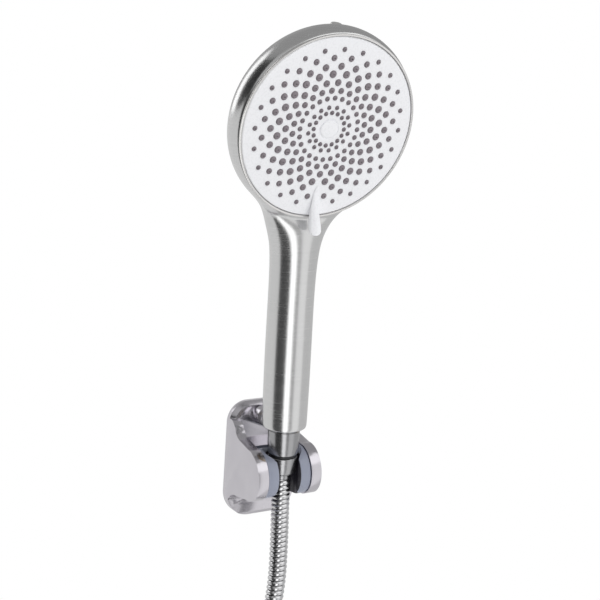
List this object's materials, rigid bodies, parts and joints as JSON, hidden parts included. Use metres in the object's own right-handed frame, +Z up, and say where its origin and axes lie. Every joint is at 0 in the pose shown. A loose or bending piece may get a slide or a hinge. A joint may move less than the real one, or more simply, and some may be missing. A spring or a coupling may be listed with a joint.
{
  "type": "handheld shower head",
  "caption": "Round handheld shower head with a turning multi-jet face, standing in a tilting wall bracket, with its swivel fitting and coiled metal hose.",
  "frame": {"origin": "centre of the bracket's flat wall face", "axes": "+Y into the wall, +Z up, +X to the right when facing the wall"},
  "size_m": [0.1944, 0.1444, 0.7076],
  "materials": {
    "satin_nickel": "satin brushed nickel plating",
    "bright_nickel": "bright plated",
    "bracket_nickel": "satin nickel plating, fine bead",
    "hose_steel": "bright interlocked steel strip",
    "white_plastic": "smooth white moulding",
    "nozzle_rubber": "grey silicone",
    "cradle_plastic": "blue-grey moulded acetal",
    "black_plastic": "black moulding",
    "inner_plastic": "natural moulded ABS",
    "brass": "turned brass",
    "spring_steel": "stainless wire",
    "seal_rubber": "black EPDM rubber"
  },
  "bodies": {
    "bracket": {"wall_bracket": "bracket_nickel"},
    "cradle": {"cradle_drum": "cradle_plastic", "pivot_pins": "spring_steel", "friction_washers": "black_plastic"},
    "handset": {"handset_shell": "satin_nickel", "rim_ring": "bright_nickel", "rear_jet": "bright_nickel", "inlet_spigot": "brass", "inlet_filter_washer": "seal_rubber", "flow_regulator": "white_plastic", "check_valve_body": "white_plastic", "check_valve_spring": "spring_steel", "water_tube": "inner_plastic", "tube_seals": "seal_rubber", "inlet_socket": "inner_plastic", "water_chamber": "inner_plastic", "port_seals": "seal_rubber", "chamber_screws": "spring_steel", "spindle_screw": "spring_steel", "detent_ball": "spring_steel", "detent_spring": "spring_steel", "hose_nut": "satin_nickel", "swivel_core": "brass", "swivel_washer": "black_plastic"},
    "valve": {"check_valve_poppet": "inner_plastic"},
    "spray_face": {"face_plate": "white_plastic", "nozzle_mat": "nozzle_rubber", "channel_disc": "inner_plastic", "selector_lever": "white_plastic", "face_trim_cap": "white_plastic"},
    "swivel": {"swivel_cone": "satin_nickel", "hose_ferrule": "bright_nickel"},
    "hose": {"hose_tube": "hose_steel", "hose_coil": "hose_steel", "coil_tie": "black_plastic", "hose_tail": "hose_steel", "far_ferrule": "bright_nickel", "far_core": "brass"},
    "supply_nut": {"far_nut": "bright_nickel", "far_washer": "seal_rubber"}
  },
  "joints": [
    {"name": "cradle_tilt", "type": "hinge", "parent": "bracket", "child": "cradle", "pos_m": [0, -0.0405, -0.004], "axis": [1, 0, 0], "range_deg": [-10, 30]},
    {"name": "handset_lift", "type": "slide", "parent": "cradle", "child": "handset", "axis": [0, -0.1132, 0.9936], "range_m": [0, 0.06]},
    {"name": "spray_select", "type": "hinge", "parent": "handset", "child": "spray_face", "pos_m": [0, -0.11616, 0.24926], "axis": [0, -0.9245, -0.3811], "range_deg": [-24, 24]},
    {"name": "check_valve_travel", "type": "slide", "parent": "handset", "child": "valve", "axis": [0, -0.1132, 0.9936], "range_m": [0, 0.0025], "stiffness_N_per_m": 80, "springref_m": -0.002, "deforming": ["check_valve_spring"]},
    {"name": "hose_swivel", "type": "hinge", "parent": "handset", "child": "swivel", "pos_m": [0, -0.0453, -0.00072], "axis": [0, -0.1132, 0.9936], "continuous": true},
    {"name": "hose_flex", "type": "hinge", "parent": "swivel", "child": "hose", "pos_m": [0, -0.04453, -0.00748], "axis": [1, 0, 0], "range_deg": [-35, 35], "deforming": ["hose_tube"]},
    {"name": "supply_nut_spin", "type": "hinge", "parent": "hose", "child": "supply_nut", "pos_m": [0.08644, -0.0087, -0.37061], "axis": [0.7863, 0, -0.6178], "continuous": true}
  ],
  "couplings": [
    {"joint": "hose_flex", "follows": "cradle_tilt", "ratio": -1}
  ]
}
